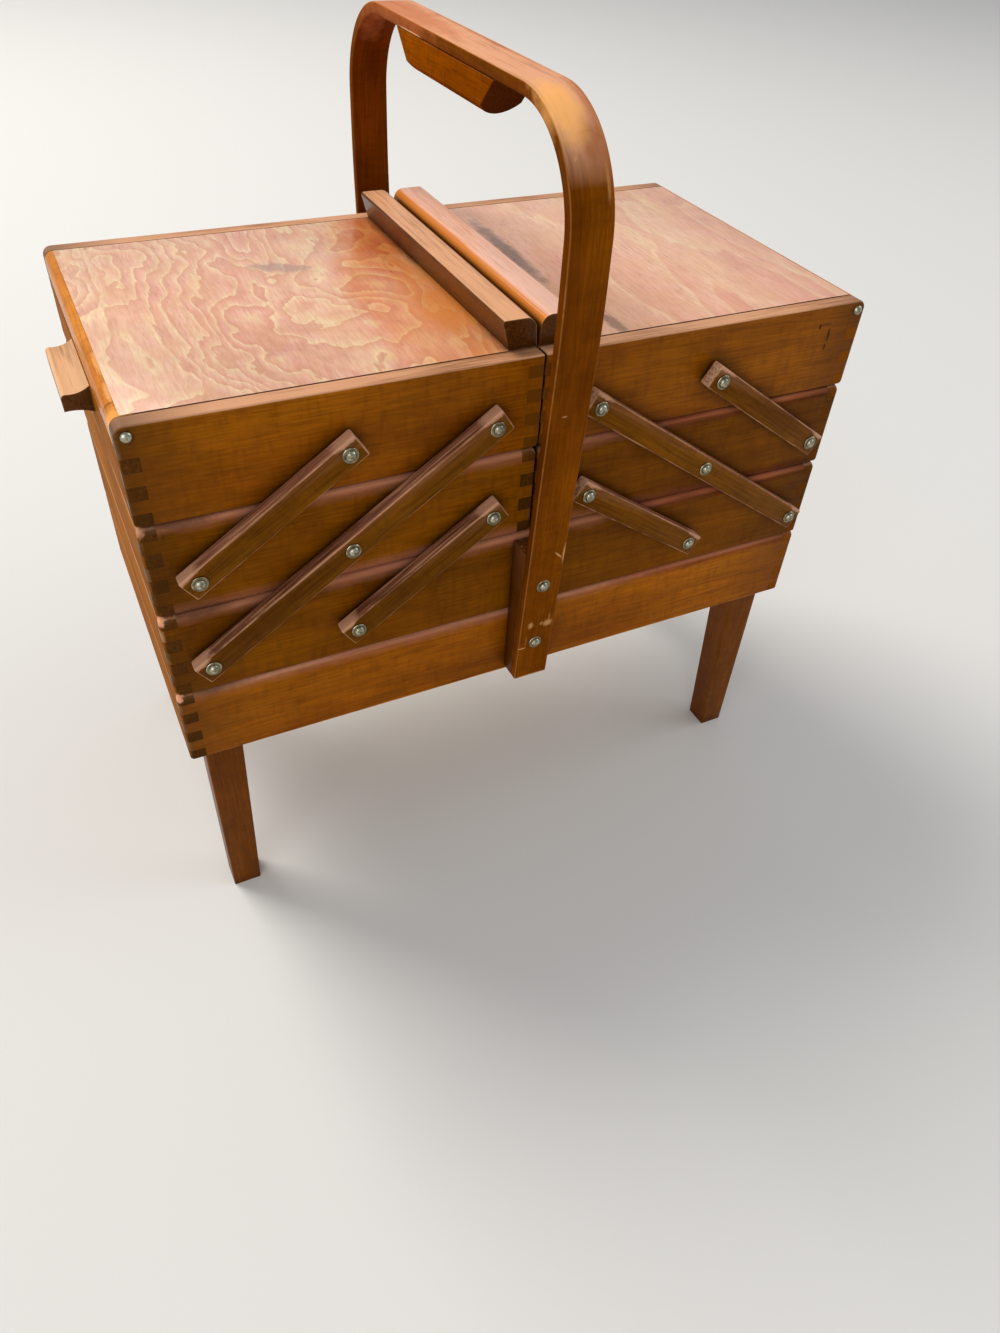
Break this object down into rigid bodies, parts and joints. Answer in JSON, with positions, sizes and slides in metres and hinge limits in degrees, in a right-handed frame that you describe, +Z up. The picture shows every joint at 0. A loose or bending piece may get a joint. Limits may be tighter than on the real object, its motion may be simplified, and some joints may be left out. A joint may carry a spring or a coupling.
{
  "type": "sewing carrier with two lids",
  "caption": "Wooden sewing carrier on tall legs: trays swing out sideways on riveted wooden arms, a hinged lid covers each top tray, and a bentwood handle arches over the box.",
  "frame": {"origin": "on the floor, under the middle of the box", "axes": "+X towards the right-hand trays, +Y towards the back, +Z up; the trays open towards -X and +X"},
  "size_m": [0.4804, 0.3016, 0.501],
  "materials": {
    "boards": "worn gloss varnish, golden brown with horizontal grain",
    "bottoms": "plain plywood, thinly varnished",
    "legs": "dark reddish brown stained varnish",
    "handle": "worn gloss varnish with pale rubbed edges",
    "arms": "worn gloss varnish, olive brown with pale arrises",
    "pulls": "satin varnish, tan",
    "lids": "gloss varnished veneer with a wavy figure",
    "nosings": "gloss varnish, orange brown",
    "lips": "worn gloss varnish, pale on top",
    "fittings": "tarnished nickel plate"
  },
  "bodies": {
    "base": {"base_front_board": "boards", "base_back_board": "boards", "base_left_board": "boards", "base_right_board": "boards", "base_bottom_panel": "bottoms", "leg_front_left": "legs", "leg_front_right": "legs", "leg_back_left": "legs", "leg_back_right": "legs", "lower_front_board": "boards", "lower_back_board": "boards", "lower_left_board": "boards", "lower_right_board": "boards", "handle_bow": "handle", "handle_grip": "handle", "base_rivets": "fittings"},
    "left_long_arms": {"left_front_long_arm": "arms", "left_back_long_arm": "arms"},
    "left_mid_tray": {"left_mid_front_board": "boards", "left_mid_back_board": "boards", "left_mid_outer_board": "boards", "left_mid_inner_board": "boards", "left_mid_bottom_panel": "bottoms", "left_mid_rivets": "fittings"},
    "left_top_tray": {"left_top_front_board": "boards", "left_top_back_board": "boards", "left_top_outer_board": "boards", "left_top_inner_board": "boards", "left_top_bottom_panel": "bottoms", "left_top_rivets": "fittings", "left_pull": "pulls"},
    "left_lower_arms": {"left_front_lower_arm": "arms", "left_back_lower_arm": "arms"},
    "left_upper_arms": {"left_front_upper_arm": "arms", "left_back_upper_arm": "arms"},
    "left_lid": {"left_lid_panel": "lids", "left_lid_nosing": "nosings", "left_lid_lip": "lips"},
    "right_long_arms": {"right_front_long_arm": "arms", "right_back_long_arm": "arms"},
    "right_mid_tray": {"right_mid_front_board": "boards", "right_mid_back_board": "boards", "right_mid_outer_board": "boards", "right_mid_inner_board": "boards", "right_mid_bottom_panel": "bottoms", "right_mid_rivets": "fittings"},
    "right_top_tray": {"right_top_front_board": "boards", "right_top_back_board": "boards", "right_top_outer_board": "boards", "right_top_inner_board": "boards", "right_top_bottom_panel": "bottoms", "right_top_rivets": "fittings", "right_pull": "pulls"},
    "right_lower_arms": {"right_front_lower_arm": "arms", "right_back_lower_arm": "arms"},
    "right_upper_arms": {"right_front_upper_arm": "arms", "right_back_upper_arm": "arms"},
    "right_lid": {"right_lid_panel": "lids", "right_lid_nosing": "nosings", "right_lid_lip": "lips"}
  },
  "joints": [
    {"name": "left_spread", "type": "hinge", "parent": "base", "child": "left_long_arms", "pos_m": [-0.2025, 0, 0.229], "axis": [0, -1, 0], "range_deg": [0, 111]},
    {"name": "left_mid_level", "type": "hinge", "parent": "left_long_arms", "child": "left_mid_tray", "pos_m": [-0.1175, 0, 0.2866], "axis": [0, -1, 0], "range_deg": [-111, 0]},
    {"name": "left_top_level", "type": "hinge", "parent": "left_long_arms", "child": "left_top_tray", "pos_m": [-0.0325, 0, 0.3442], "axis": [0, -1, 0], "range_deg": [-111, 0]},
    {"name": "left_lower_swing", "type": "hinge", "parent": "base", "child": "left_lower_arms", "pos_m": [-0.117, 0, 0.229], "axis": [0, -1, 0], "range_deg": [0, 111]},
    {"name": "left_upper_swing", "type": "hinge", "parent": "left_mid_tray", "child": "left_upper_arms", "pos_m": [-0.201, 0, 0.2883], "axis": [0, -1, 0], "range_deg": [0, 111]},
    {"name": "left_lid_hinge", "type": "hinge", "parent": "left_top_tray", "child": "left_lid", "pos_m": [-0.2193, 0, 0.3711], "axis": [0, -1, 0], "range_deg": [0, 105]},
    {"name": "right_spread", "type": "hinge", "parent": "base", "child": "right_long_arms", "pos_m": [0.2025, 0, 0.229], "axis": [0, 1, 0], "range_deg": [0, 111]},
    {"name": "right_mid_level", "type": "hinge", "parent": "right_long_arms", "child": "right_mid_tray", "pos_m": [0.1175, 0, 0.2866], "axis": [0, 1, 0], "range_deg": [-111, 0]},
    {"name": "right_top_level", "type": "hinge", "parent": "right_long_arms", "child": "right_top_tray", "pos_m": [0.0325, 0, 0.3442], "axis": [0, 1, 0], "range_deg": [-111, 0]},
    {"name": "right_lower_swing", "type": "hinge", "parent": "base", "child": "right_lower_arms", "pos_m": [0.117, 0, 0.229], "axis": [0, 1, 0], "range_deg": [0, 111]},
    {"name": "right_upper_swing", "type": "hinge", "parent": "right_mid_tray", "child": "right_upper_arms", "pos_m": [0.201, 0, 0.2883], "axis": [0, 1, 0], "range_deg": [0, 111]},
    {"name": "right_lid_hinge", "type": "hinge", "parent": "right_top_tray", "child": "right_lid", "pos_m": [0.2193, 0, 0.3711], "axis": [0, 1, 0], "range_deg": [0, 105]}
  ],
  "couplings": [
    {"joint": "left_mid_level", "follows": "left_spread", "ratio": -1},
    {"joint": "left_top_level", "follows": "left_spread", "ratio": -1},
    {"joint": "left_lower_swing", "follows": "left_spread", "ratio": 1},
    {"joint": "left_upper_swing", "follows": "left_spread", "ratio": 1},
    {"joint": "right_mid_level", "follows": "right_spread", "ratio": -1},
    {"joint": "right_top_level", "follows": "right_spread", "ratio": -1},
    {"joint": "right_lower_swing", "follows": "right_spread", "ratio": 1},
    {"joint": "right_upper_swing", "follows": "right_spread", "ratio": 1}
  ]
}
